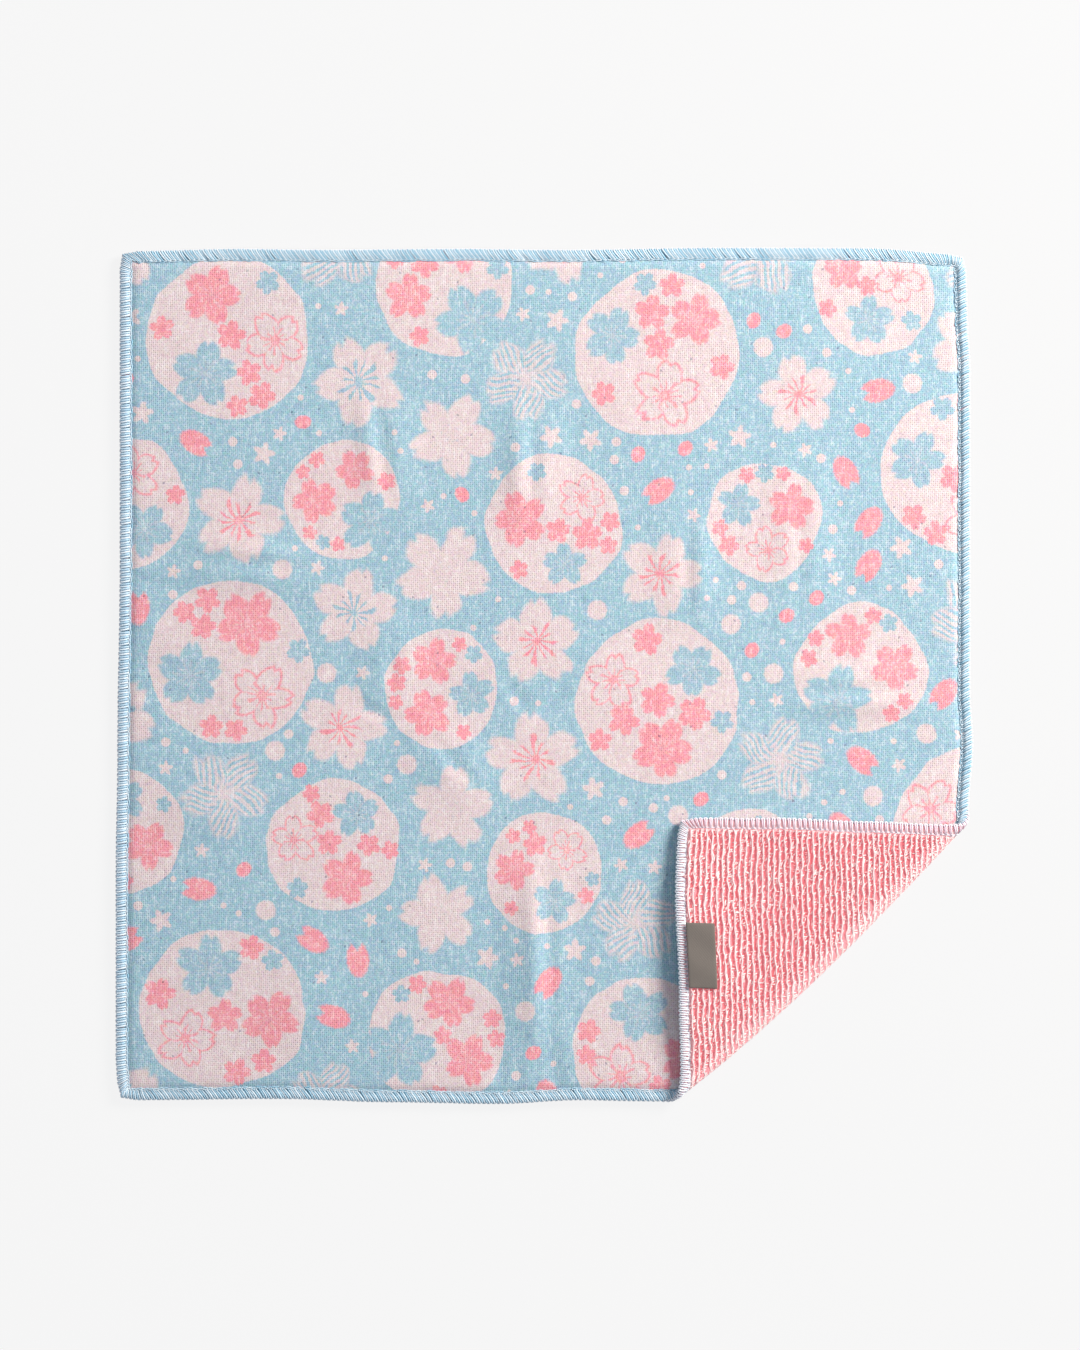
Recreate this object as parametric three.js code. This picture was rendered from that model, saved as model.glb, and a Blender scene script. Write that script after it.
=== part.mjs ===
// Square towel handkerchief with one corner turned over onto its face.
// Millimetres, +Z up. The origin is the middle of the flat underside.
//
// Every piece is drawn on the flat cloth first. u runs to the right, v runs to the back,
// w is the height above the middle of the sheet, and e is the depth in from the outline.
// place(u, v, w) then carries a point to where it lies on the folded cloth.
import * as THREE from 'three';
import { mergeVertices } from 'three/addons/utils/BufferGeometryUtils.js';

// Panel: gauze face and looped pile back, woven in one
const SIDE = 250;
const HALF = SIDE / 2;
const CLOTH_THICK = 2.4;
const HEM_THICK = 1;
const PANEL_CELLS = 28;
const CUT_SNAP = 0.05;

// Overlock edging: a band of thread that wraps the raw edge
const EDGING_REACH = 3;
const EDGING_WALL = 0.4;
const EDGING_CHAMFER = 0.35;
const EDGING_STEP = 8.5;
const HEM_CLEARANCE = 0.4;
const CLEARANCE = 0.3;
const MITRE_GAP = 0.22;

// Turned corner: a fold line on the bias, with a loose bend
const FOLD_ANGLE = THREE.MathUtils.degToRad(43.5);
const FOLD_OUTER_EDGE = 117.4;
const BEND_RADIUS = 1.9;
const BEND_STEPS = 12;
const FOLD_BOW = 2.75;
const FOLD_BOW_SKEW = 0.25;
const FOLD_BOW_REACH = 50;
const FLAP_SLIP = 4.9;

// How the turned corner lies on the face
const FLAP_GAP = 0.4;
const FLAP_SIDE_RAISE = 2.4;
const FLAP_SIDE_RAISE_AT = 85;
const FLAP_SIDE_RAISE_REACH = 48;
const FLAP_SIDE_RAISE_DEPTH = 22;
const FLAP_TOP_RAISE = 0.7;
const FLAP_TOP_RAISE_AT = -84;
const FLAP_TOP_RAISE_REACH = 34;
const FLAP_RAISE_START = 0.3;

// Tag sewn on the pile side, just inside the edging
const LABEL = { at: 83.7, length: 19.2, width: 8, thick: 1 };
const LABEL_CELLS = { along: 6, across: 3 };

// How far each side lies outside (+) or inside (-) a true square
const OUTLINE_REACH = 60;
const OUTLINE = {
  left: [
    { at: -125, out: 0.3 },
    { at: -112, out: 1.0 },
    { at: -60, out: 1.0 },
    { at: -20, out: 0.5 },
    { at: 34, out: -0.2 },
    { at: 125, out: -0.2 },
  ],
  right: [
    { at: -125, out: 0.2 },
    { at: -110, out: 0.5 },
    { at: -95, out: 1.0 },
    { at: -72, out: 0.4 },
    { at: -50, out: -0.8 },
    { at: -40, out: -0.4 },
    { at: -20, out: 0.9 },
    { at: -5, out: 0.1 },
    { at: 90, out: 0.1 },
    { at: 108, out: -0.8 },
    { at: 125, out: -1.2 },
  ],
  top: [
    { at: -125, out: -0.3 },
    { at: -90, out: 0.4 },
    { at: -66, out: 0.1 },
    { at: -25, out: 0.4 },
    { at: 5, out: 0.1 },
    { at: 50, out: 0.7 },
    { at: 95, out: 0.6 },
    { at: 125, out: -1.3 },
  ],
  bottom: [
    { at: -125, out: -0.2 },
    { at: -78, out: -0.6 },
    { at: -45, out: 0.4 },
    { at: -14, out: 0.9 },
    { at: 10, out: -0.2 },
    { at: 36, out: 0.2 },
    { at: 46, out: -0.6 },
    { at: 70, out: 0.6 },
    { at: 100, out: 1.4 },
    { at: 125, out: 0.3 },
  ],
};

// Soft ridges that the cloth was pressed and folded into, on the lying cloth.
// x and y are the middle, turn is the heading in degrees, long and wide are half sizes.
const RIDGES = [
  { x: -3, y: -83, turn: 91, long: 40, wide: 13, lift: 1.3 },
  { x: -4, y: 61, turn: 89, long: 26, wide: 14, lift: 0.9 },
  { x: -47, y: 66, turn: 94, long: 28, wide: 13, lift: 0.8 },
  { x: -45, y: 2, turn: 88, long: 22, wide: 13, lift: 0.8 },
  { x: 42, y: 32, turn: 90, long: 26, wide: 13, lift: 0.9 },
  { x: 75, y: 41, turn: 90, long: 36, wide: 13, lift: 0.8 },
  { x: -84, y: 32, turn: -6, long: 28, wide: 12, lift: 1.0 },
  { x: 90, y: -4, turn: 2, long: 29, wide: 12, lift: 1.0 },
  { x: -28, y: -26, turn: -49, long: 22, wide: 13, lift: 0.8 },
  { x: -98, y: -40, turn: 4, long: 20, wide: 12, lift: 0.7 },
  { x: -70, y: -92, turn: 60, long: 26, wide: 14, lift: 0.6 },
];

// Values worked out from the sizes above
const HEM = EDGING_REACH + CLEARANCE;
const PANEL_EDGE = EDGING_WALL + HEM_CLEARANCE;
const HEM_RAMP = (CLOTH_THICK - HEM_THICK) / 2;
const NORMAL = new THREE.Vector2(Math.sin(FOLD_ANGLE), -Math.cos(FOLD_ANGLE));
const ALONG = new THREE.Vector2(Math.cos(FOLD_ANGLE), Math.sin(FOLD_ANGLE));
const BEND_START = FOLD_OUTER_EDGE - BEND_RADIUS - CLOTH_THICK / 2;
const BEND_LENGTH = Math.PI * BEND_RADIUS;
const CORNER_DEPTH = HALF * (NORMAL.x - NORMAL.y) - BEND_START;
const FLAP_DEPTH = CORNER_DEPTH - BEND_LENGTH;
const FLAP_SETTLE = 2 * BEND_RADIUS - CLOTH_THICK - FLAP_GAP;
const FOLD_RIGHT_END = (HALF * NORMAL.x - FOLD_OUTER_EDGE) / -NORMAL.y;
const FOLD_BOTTOM_END = (FOLD_OUTER_EDGE + HALF * NORMAL.y) / NORMAL.x;
const BOW_FROM = FOLD_BOTTOM_END * ALONG.x - HALF * ALONG.y;
const BOW_TO = HALF * ALONG.x + FOLD_RIGHT_END * ALONG.y;

const clamp = THREE.MathUtils.clamp;

// A hill that is 1 at 0, and level with nothing beyond -1 and 1
function hill(x) {
  const rest = Math.max(0, 1 - x * x);
  return rest * rest;
}

// A shift read off a table of rows, eased from row to row
function readRows(rows, at) {
  const last = rows.length - 1;
  const next = clamp(rows.findIndex((row) => row.at > at), 0, last);
  const to = at >= rows[last].at ? last : Math.max(1, next);
  const from = rows[to - 1];
  const step = clamp((at - from.at) / (rows[to].at - from.at), 0, 1);
  const eased = step * step * (3 - 2 * step);
  return from.out + (rows[to].out - from.out) * eased;
}

// How far a point of the flat cloth moves with its uneven outline
function outlineShift(u, v) {
  const fade = (depth) => hill(clamp(depth / OUTLINE_REACH, 0, 1));
  const right = readRows(OUTLINE.right, v) * fade(HALF - u);
  const left = readRows(OUTLINE.left, v) * fade(HALF + u);
  const top = readRows(OUTLINE.top, u) * fade(HALF - v);
  const bottom = readRows(OUTLINE.bottom, u) * fade(HALF + v);
  return new THREE.Vector2(right - left, top - bottom);
}

// Height of the cloth over the surface it lies on, from its soft ridges
function groundLift(x, y) {
  return RIDGES.reduce((lift, ridge) => {
    const turn = THREE.MathUtils.degToRad(ridge.turn);
    const [dx, dy] = [x - ridge.x, y - ridge.y];
    const run = dx * Math.cos(turn) + dy * Math.sin(turn);
    const off = dy * Math.cos(turn) - dx * Math.sin(turn);
    return lift + ridge.lift * hill(run / ridge.long) * hill(off / ridge.wide);
  }, 0);
}

// Height of the turned corner over its lowest lie, highest along its left side
function flapLift(u, v, progress) {
  const settle = FLAP_SETTLE * (1 - progress) ** 2;
  const clear = 1 - hill(clamp(progress / FLAP_RAISE_START, 0, 1));
  const near = hill(clamp((v + HALF) / FLAP_SIDE_RAISE_DEPTH, 0, 1));
  const side = hill((u - FLAP_SIDE_RAISE_AT) / FLAP_SIDE_RAISE_REACH) * near;
  const nearTop = hill(clamp((HALF - u) / FLAP_SIDE_RAISE_DEPTH, 0, 1));
  const top = hill((v - FLAP_TOP_RAISE_AT) / FLAP_TOP_RAISE_REACH) * nearTop;
  return settle + clear * (FLAP_SIDE_RAISE * side + FLAP_TOP_RAISE * top);
}

// The fold's outward bow, which fades out over the field and over the turned corner
function foldBow(along, depth, progress) {
  const x = (2 * (along - BOW_FROM)) / (BOW_TO - BOW_FROM) - 1;
  const bow = FOLD_BOW * Math.max(0, 1 - x * x) * (1 - FOLD_BOW_SKEW * x);
  return bow * hill(clamp(-depth / FOLD_BOW_REACH, 0, 1)) * hill(progress);
}

// Carries a point of the flat cloth to its place on the folded cloth
function place(u, v, w) {
  const depth = u * NORMAL.x + v * NORMAL.y - BEND_START;
  const along = u * ALONG.x + v * ALONG.y;
  const turn = clamp(depth / BEND_RADIUS, 0, Math.PI);
  const past = Math.max(0, depth - BEND_LENGTH);
  const progress = past / FLAP_DEPTH;
  const shift = outlineShift(u, v);
  const shiftOut = shift.dot(NORMAL);
  const out = BEND_START + Math.min(depth, 0) + BEND_RADIUS * Math.sin(turn) - past
    + foldBow(along, depth, progress) + shiftOut * Math.cos(turn) - w * Math.sin(turn);
  const side = along + shift.dot(ALONG) - FLAP_SLIP * progress;
  const x = out * NORMAL.x + side * ALONG.x;
  const y = out * NORMAL.y + side * ALONG.y;
  const middle = CLOTH_THICK / 2 + BEND_RADIUS * (1 - Math.cos(turn));
  const lie = flapLift(u, v, progress) - FLAP_SETTLE;
  const z = middle + lie + groundLift(x, y) + w * Math.cos(turn);
  return new THREE.Vector3(x, y, z);
}

// Half the cloth's thickness, pressed down inside the edging
function halfThick(u, v) {
  const e = HALF - Math.max(Math.abs(u), Math.abs(v));
  const rise = clamp((e - HEM) / HEM_RAMP, 0, 1);
  return (HEM_THICK + (CLOTH_THICK - HEM_THICK) * rise) / 2;
}

// A closed geometry from triangles of points, with shared corners merged
function closedGeometry(triangles) {
  const geometry = new THREE.BufferGeometry().setFromPoints(triangles.flat());
  const merged = mergeVertices(geometry, 1e-4);
  merged.computeVertexNormals();
  return merged;
}

// The two triangles of a quad
function quad(a, b, c, d) {
  return [[a, b, c], [a, c, d]];
}

// Cuts a convex polygon of the flat cloth and keeps what lies past a depth, or before it.
// A corner within the snap of the line counts as on it, so no sliver is left.
function cutPolygon(polygon, depth, keepPast) {
  const side = (p) => {
    const past = p.dot(NORMAL) - BEND_START - depth;
    return Math.abs(past) < CUT_SNAP ? 0 : past * (keepPast ? 1 : -1);
  };
  const kept = [];
  polygon.forEach((p, i) => {
    const q = polygon[(i + 1) % polygon.length];
    const [a, b] = [side(p), side(q)];
    if (a >= 0) kept.push(p);
    if (a * b < 0) kept.push(p.clone().lerp(q, a / (a - b)));
  });
  return kept;
}

// Grid lines of the panel: the raw edge, the hem's inner edge, its ramp, and the field
function panelLines() {
  const inner = HALF - HEM - HEM_RAMP;
  const field = Array.from({ length: PANEL_CELLS + 1 }, (_, i) => inner * (2 * i / PANEL_CELLS - 1));
  const edge = [HALF - PANEL_EDGE, HALF - HEM];
  return [...edge.map((x) => -x), ...field, ...edge.reverse()];
}

// The panel's flat cells, each cut along the lines where the cloth bends
function panelPolygons() {
  const lines = panelLines();
  const bends = Array.from({ length: BEND_STEPS + 1 }, (_, i) => BEND_LENGTH * i / BEND_STEPS);
  const polygons = [];
  for (let i = 0; i < lines.length - 1; i++) {
    for (let j = 0; j < lines.length - 1; j++) {
      let rest = [[i, j], [i + 1, j], [i + 1, j + 1], [i, j + 1]]
        .map(([a, b]) => new THREE.Vector2(lines[a], lines[b]));
      for (const bend of bends) {
        polygons.push(cutPolygon(rest, bend, false));
        rest = cutPolygon(rest, bend, true);
      }
      polygons.push(rest);
    }
  }
  return polygons.filter((polygon) => polygon.length > 2);
}

// The panel: the face over the back, joined by a narrow rim along the raw edge
function panelGeometry() {
  const rim = HALF - PANEL_EDGE - 1e-6;
  const onRim = (p, q) => ['x', 'y'].some((axis) => Math.abs(p[axis]) > rim && p[axis] === q[axis]);
  const face = (p) => place(p.x, p.y, halfThick(p.x, p.y));
  const back = (p) => place(p.x, p.y, -halfThick(p.x, p.y));
  const triangles = [];
  for (const polygon of panelPolygons()) {
    for (let i = 1; i < polygon.length - 1; i++) {
      const fan = [polygon[0], polygon[i], polygon[i + 1]];
      triangles.push(fan.map(face), fan.map(back).reverse());
    }
    polygon.forEach((p, i) => {
      const q = polygon[(i + 1) % polygon.length];
      if (onRim(p, q)) triangles.push(...quad(back(p), back(q), face(q), face(p)));
    });
  }
  return closedGeometry(triangles);
}

// The edging's section, as a channel round the hem: e is depth in, w is height
function edgingSection() {
  const outer = CLOTH_THICK / 2;
  const inner = HEM_THICK / 2 + HEM_CLEARANCE;
  const chamfer = outer - EDGING_CHAMFER;
  const half = [
    { e: 0, w: chamfer },
    { e: EDGING_CHAMFER, w: outer },
    { e: EDGING_REACH, w: outer },
    { e: EDGING_REACH, w: inner },
    { e: EDGING_WALL, w: inner },
  ];
  return [...half, ...half.toReversed().map(({ e, w }) => ({ e, w: -w }))];
}

// Where a point of a side's run lies on the flat cloth
const ON_SIDE = {
  left: (along, e) => [e - HALF, along],
  right: (along, e) => [HALF - e, along],
  top: (along, e) => [along, HALF - e],
  bottom: (along, e) => [along, e - HALF],
};

// Stations along a side. lean is how far a station slants for each unit of depth:
// 1 and -1 at the mitres, and along the fold line where the side goes round the bend.
function edgingStations(side) {
  const end = HALF - MITRE_GAP;
  const leans = { right: NORMAL.x / NORMAL.y, bottom: NORMAL.y / -NORMAL.x };
  const lean = leans[side];
  const rows = [{ at: -end, lean: 1 }];
  if (lean !== undefined) {
    const [u, v] = ON_SIDE[side](0, 0);
    const pull = side === 'right' ? NORMAL.y : NORMAL.x;
    const base = u * NORMAL.x + v * NORMAL.y - BEND_START;
    const bends = Array.from({ length: BEND_STEPS + 1 }, (_, i) => BEND_LENGTH * i / BEND_STEPS);
    rows.push(...bends.map((depth) => ({ at: (depth - base) / pull, lean })));
  }
  rows.push({ at: end, lean: -1 });
  rows.sort((a, b) => a.at - b.at);
  return rows.slice(1).reduce((stations, to) => {
    const from = stations.at(-1);
    const steps = Math.ceil((to.at - from.at) / EDGING_STEP);
    for (let i = 1; i <= steps; i++) {
      const mix = (key) => from[key] + (to[key] - from[key]) * i / steps;
      stations.push({ at: mix('at'), lean: mix('lean') });
    }
    return stations;
  }, [rows[0]]);
}

// One side's run of edging, closed at both mitres
function edgingGeometry(side) {
  const section = edgingSection();
  const rings = edgingStations(side).map(({ at, lean }) => section.map(({ e, w }) => {
    const [u, v] = ON_SIDE[side](at + lean * e, e);
    return place(u, v, w);
  }));
  const triangles = rings.slice(1).flatMap((ring, i) => section.flatMap((_, k) => {
    const next = (k + 1) % section.length;
    return quad(rings[i][k], ring[k], ring[next], rings[i][next]);
  }));
  const contour = section.map(({ e, w }) => new THREE.Vector2(e, w));
  for (const [a, b, c] of THREE.ShapeUtils.triangulateShape(contour, [])) {
    triangles.push([c, b, a].map((k) => rings[0][k]), [a, b, c].map((k) => rings.at(-1)[k]));
  }
  const turned = side === 'left' || side === 'top';
  return closedGeometry(turned ? triangles.map((t) => t.toReversed()) : triangles);
}

// The tag: a thin slab that follows the pile of the turned corner
function labelGeometry() {
  const { at, length, width, thick } = LABEL;
  const slab = new THREE.BoxGeometry(length, width, thick, LABEL_CELLS.along, LABEL_CELLS.across, 1);
  const edge = HEM - HALF;
  slab.translate(at, edge + width / 2, -(CLOTH_THICK + thick) / 2 - CLEARANCE);
  slab.deleteAttribute('normal');
  slab.deleteAttribute('uv');
  const merged = mergeVertices(slab);
  const corner = new THREE.Vector3();
  for (let k = 0; k < merged.attributes.position.count; k++) {
    corner.fromBufferAttribute(merged.attributes.position, k);
    merged.attributes.position.setXYZ(k, ...place(corner.x, corner.y, corner.z));
  }
  merged.computeVertexNormals();
  return merged;
}

const gauze = new THREE.MeshStandardMaterial({ name: 'printed gauze', color: 0x9ecde3, roughness: 0.9 });
const thread = new THREE.MeshStandardMaterial({ name: 'edging thread', color: 0xa9cfe6, roughness: 0.8 });
const tape = new THREE.MeshStandardMaterial({ name: 'grey tag', color: 0x857e77, roughness: 0.85 });

const handkerchief = new THREE.Group();

// Adds one named piece
function addPiece(name, geometry, material) {
  const mesh = new THREE.Mesh(geometry, material);
  mesh.name = name;
  handkerchief.add(mesh);
}

addPiece('cloth', panelGeometry(), gauze);
for (const side of ['left', 'top', 'right', 'bottom']) {
  addPiece(`edging_${side}`, edgingGeometry(side), thread);
}
addPiece('label', labelGeometry(), tape);

// Centres the whole over the origin, with its underside at zero
const box = new THREE.Box3().setFromObject(handkerchief, true);
const centre = box.getCenter(new THREE.Vector3());
handkerchief.position.set(-centre.x, -centre.y, -box.min.z);

export default handkerchief;
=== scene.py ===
# Folded handkerchief: a square of printed gauze with a looped pile back, overlocked all
# round, lying face up with one corner turned over.
#
# Every piece is made on the flat cloth first, in millimetres: u runs to the right, v to the
# back, w is the height over the middle of the sheet. lay() then carries it to where it lies.
import math

import bmesh
import bpy
import numpy as np
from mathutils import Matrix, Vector


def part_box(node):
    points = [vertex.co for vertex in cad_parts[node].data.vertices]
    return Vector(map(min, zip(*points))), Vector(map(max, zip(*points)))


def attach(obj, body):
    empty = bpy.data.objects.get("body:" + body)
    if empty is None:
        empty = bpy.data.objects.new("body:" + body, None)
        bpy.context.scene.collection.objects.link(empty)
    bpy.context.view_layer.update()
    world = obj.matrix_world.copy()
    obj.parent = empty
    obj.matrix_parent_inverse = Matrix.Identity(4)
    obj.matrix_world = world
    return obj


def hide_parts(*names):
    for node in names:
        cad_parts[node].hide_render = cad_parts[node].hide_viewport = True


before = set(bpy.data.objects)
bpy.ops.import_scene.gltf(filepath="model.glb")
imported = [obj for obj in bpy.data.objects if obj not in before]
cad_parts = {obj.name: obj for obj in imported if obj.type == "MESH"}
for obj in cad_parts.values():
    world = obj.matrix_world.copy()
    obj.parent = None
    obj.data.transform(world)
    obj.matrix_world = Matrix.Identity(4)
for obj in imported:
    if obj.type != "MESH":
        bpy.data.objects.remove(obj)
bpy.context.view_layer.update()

MM = 0.001

# The flat cloth, as in the part's source
SIDE = 250.0
HALF = SIDE / 2
CLOTH_THICK = 2.4
HEM_THICK = 1.0
EDGING_REACH = 3.0

# Distance between the threads of the gauze
WEAVE_PITCH = 0.58

# The turned corner, as in the part's source
FOLD_ANGLE = math.radians(43.5)
FOLD_OUTER_EDGE = 117.4
BEND_RADIUS = 1.9
FOLD_BOW = 2.75
FOLD_BOW_SKEW = 0.25
FOLD_BOW_REACH = 50.0
FLAP_SLIP = 4.9
FLAP_GAP = 0.4
FLAP_SIDE_RAISE = 2.4
FLAP_SIDE_RAISE_AT = 85.0
FLAP_SIDE_RAISE_REACH = 48.0
FLAP_TOP_RAISE = 0.7
FLAP_TOP_RAISE_AT = -84.0
FLAP_TOP_RAISE_REACH = 34.0
FLAP_RAISE_DEPTH = 22.0
FLAP_RAISE_START = 0.3

# How far each side lies outside a true square: place along the side, distance out.
# The shift fades out over OUTLINE_REACH towards the middle.
OUTLINE_REACH = 60.0
OUTLINE = {
    "left": [(-125, 0.3), (-112, 1.0), (-60, 1.0), (-20, 0.5), (34, -0.2), (125, -0.2)],
    "right": [(-125, 0.2), (-110, 0.5), (-95, 1.0), (-72, 0.4), (-50, -0.8), (-40, -0.4),
              (-20, 0.9), (-5, 0.1), (90, 0.1), (108, -0.8), (125, -1.2)],
    "top": [(-125, -0.3), (-90, 0.4), (-66, 0.1), (-25, 0.4), (5, 0.1), (50, 0.7),
            (95, 0.6), (125, -1.3)],
    "bottom": [(-125, -0.2), (-78, -0.6), (-45, 0.4), (-14, 0.9), (10, -0.2), (36, 0.2),
               (46, -0.6), (70, 0.6), (100, 1.4), (125, 0.3)],
}

# Soft ridges of the lying cloth: middle x and y, heading in degrees, half length,
# half width and lift
RIDGES = [
    (-3, -83, 91, 40, 13, 1.3),
    (-4, 61, 89, 26, 14, 0.9),
    (-47, 66, 94, 28, 13, 0.8),
    (-45, 2, 88, 22, 13, 0.8),
    (42, 32, 90, 26, 13, 0.9),
    (75, 41, 90, 36, 13, 0.8),
    (-84, 32, -6, 28, 12, 1.0),
    (90, -4, 2, 29, 12, 1.0),
    (-28, -26, -49, 22, 13, 0.8),
    (-98, -40, 4, 20, 12, 0.7),
    (-70, -92, 60, 26, 14, 0.6),
]

# Fine press lines and puckers of the gauze face: middle u and v, heading in degrees,
# half length, half width and height, where a trough is below zero
CREASES = [
    (-3.4, -82, 91, 40, 3.8, 0.62),
    (1.4, -84, 91, 38, 3.2, -0.66),
    (-3.4, 62, 90, 22, 3.2, -0.54),
    (-8.0, 62, 90, 22, 4.0, 0.47),
    (-47.5, 67, 97, 26, 3.4, -0.54),
    (-52.0, 67, 97, 24, 3.6, 0.38),
    (-45, 2, 90, 11, 3.0, -0.47),
    (42, 32, 90, 22, 3.6, -0.51),
    (46, 32, 90, 20, 3.6, 0.34),
    (75, 41, 90, 32, 3.8, -0.46),
    (-84, 32.5, -6, 24, 3.4, -0.57),
    (-84, 37, -6, 22, 3.6, 0.34),
    (91, -4.3, 2, 27, 3.4, -0.51),
    (91, -8.6, 2, 25, 3.6, 0.34),
    (-50, -11, -27, 9, 2.6, -0.61),
    (-27, -25, -49, 12, 3.2, -0.61),
    (-8, -6, -50, 9, 2.6, -0.43),
    (3, -7, 50, 9, 2.6, -0.43),
    (-116, 27, 4, 9, 2.2, -0.41),
    (-117, 15, -3, 8, 2.2, 0.38),
    (-116, 3, 2, 9, 2.2, -0.41),
    (-117, -8, -4, 8, 2.4, 0.35),
    (-116, -20, 5, 9, 2.2, -0.41),
    (-13, -116, 84, 9, 2.2, -0.41),
    (-5, -117, 90, 8, 2.2, 0.35),
    (3, -116, 97, 9, 2.2, -0.41),
    (60, 118, 88, 7, 2.2, -0.30),
    (-70, 117, 92, 7, 2.2, -0.30),
]

# The panel's mesh
FIELD_STEP = 1.45
HEM_LINES = (124.5, 123.4, 122.2, 121.6, 121.0, 120.4, 119.7)
BEND_CUTS = 14
CORNER_ROUND = 5.0
CORNER_PULL = 0.8
HEM_RISE_FROM = 2.6
HEM_RISE = 2.6
PILE_FLOOR = 0.75

# Looped pile
RIB_PITCH = 1.52
RIB_EDGE = 121.7
RIB_POINT_STEP = 0.8
RIB_CORE = 0.82
ROPE_STEP = 1.5
LOOP_STEP = 0.56
LOOP_START = -1.5
FOLD_PALE = 0.85
FOLD_PALE_REACH = 7.0
FOLD_FLATTEN = 0.85
ROPE_SIDES = 6
ROPE_WIDTH = 0.88
ROPE_HEIGHT = 0.26
ROPE_WANDER = 0.08
LOOP_LEAN = math.radians(44)
LOOP_RUN = 1.35
LOOP_RISE = 0.28
LOOP_RADII = (0.12, 0.18, 0.21, 0.21, 0.18, 0.12)
PILE_FOOT_TONE = 0.2
PILE_LEVEL_SHARE = 0.7

# Overlock stitches
STITCH_END = 124.6
STITCH_FAN = 8.0
STITCH_PITCH = 1.42
STITCH_HEIGHT = 0.95
STITCH_ROUNDNESS = 0.5
STRAND_RADIUS = 0.3
# How much painted shade darkens the second strand of each stitch
SECOND_STRAND_SHADE = 0.8
BACK_GAP_AT_EDGE = 0.3
STITCH_RINGS = 13
STRAND_SIDES = 4
LINK_RINGS = 8

# Tag, sewn in at the edging on the pile side
TAG_AT = 84.6
TAG_LENGTH = 19.4
TAG_WIDTH = 7.7
TAG_THICK = 0.4
TAG_START = 2.4
TAG_HEIGHT = -1.85
TAG_RIM = 0.25

# Depth of the relief that the shaders give to yarn and to edging thread, in metres
YARN_RELIEF = 0.00008
THREAD_RELIEF = 0.00005

# Floor, in metres, just under the lowest point of what lies on it
FLOOR_HALF = 3.0
FLOOR_HEIGHT = -0.0006
FLOOR_GLOW = 0.86

# Sky and lamps: name, place, width, watts and colour of each lamp
SKY_TINT = (0.84, 0.89, 1.0, 1.0)
SKY_STRENGTH = 0.38
LAMPS = [
    ("key", (0.85, 0.55, 0.62), 0.46, 23.3, (1.0, 0.94, 0.89)),
    ("fill", (-0.9, -0.5, 1.1), 1.2, 1.8, (0.9, 0.92, 1.0)),
]

# Camera: the photograph's height in pixels, its scale, and the middle of its view
PHOTO_HEIGHT = 1350
MM_PER_PIXEL = 0.294
PHOTO_CENTRE = (-1.32, 0.15)
LENS = 100.0
SENSOR = 36.0

# Values worked out from the sizes above
NORMAL = np.array([math.sin(FOLD_ANGLE), -math.cos(FOLD_ANGLE)])
ALONG = np.array([math.cos(FOLD_ANGLE), math.sin(FOLD_ANGLE)])
BEND_START = FOLD_OUTER_EDGE - BEND_RADIUS - CLOTH_THICK / 2
BEND_LENGTH = math.pi * BEND_RADIUS
FLAP_DEPTH = HALF * (NORMAL[0] - NORMAL[1]) - BEND_START - BEND_LENGTH
FLAP_SETTLE = 2 * BEND_RADIUS - CLOTH_THICK - FLAP_GAP
FOLD_RIGHT_END = (HALF * NORMAL[0] - FOLD_OUTER_EDGE) / -NORMAL[1]
FOLD_BOTTOM_END = (FOLD_OUTER_EDGE + HALF * NORMAL[1]) / NORMAL[0]
BOW_FROM = FOLD_BOTTOM_END * ALONG[0] - HALF * ALONG[1]
BOW_TO = HALF * ALONG[0] + FOLD_RIGHT_END * ALONG[1]


# How the flat cloth lies

def clamp(x):
    return np.clip(x, 0, 1)


def smooth(x):
    """Eases from 0 to 1."""
    t = clamp(x)
    return t * t * (3 - 2 * t)


def hill(x):
    """A hill that is 1 at 0, and level with nothing beyond -1 and 1."""
    return np.maximum(0, 1 - x * x) ** 2


def read_rows(rows, at):
    """A distance read off a table of rows, eased from row to row."""
    places, outs = np.array(rows, float).T
    k = np.clip(np.searchsorted(places, at, side="right") - 1, 0, len(places) - 2)
    step = (at - places[k]) / (places[k + 1] - places[k])
    return outs[k] + (outs[k + 1] - outs[k]) * smooth(step)


def hills(table, x, y):
    """The sum of long hills from a table of middle, heading, half sizes and height."""
    total = np.zeros_like(x)
    for at_x, at_y, heading, length, width, height in table:
        turn = math.radians(heading)
        run = (x - at_x) * math.cos(turn) + (y - at_y) * math.sin(turn)
        off = (y - at_y) * math.cos(turn) - (x - at_x) * math.sin(turn)
        total += height * hill(run / length) * hill(off / width)
    return total


def outline_shift(u, v):
    """How far a point of the flat cloth moves with its uneven outline."""
    def out(side, at, inside):
        return read_rows(OUTLINE[side], at) * hill(clamp(inside / OUTLINE_REACH))

    return (out("right", v, HALF - u) - out("left", v, HALF + u),
            out("top", u, HALF - v) - out("bottom", u, HALF + v))


def flap_lift(u, v, progress):
    """Height of the turned corner over its lowest lie."""
    def raised(off, reach, inside):
        return hill(off / reach) * hill(clamp(inside / FLAP_RAISE_DEPTH))

    clear = 1 - hill(clamp(progress / FLAP_RAISE_START))
    side = raised(u - FLAP_SIDE_RAISE_AT, FLAP_SIDE_RAISE_REACH, v + HALF)
    top = raised(v - FLAP_TOP_RAISE_AT, FLAP_TOP_RAISE_REACH, HALF - u)
    settle = FLAP_SETTLE * (1 - progress) ** 2
    return settle + clear * (FLAP_SIDE_RAISE * side + FLAP_TOP_RAISE * top)


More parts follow.
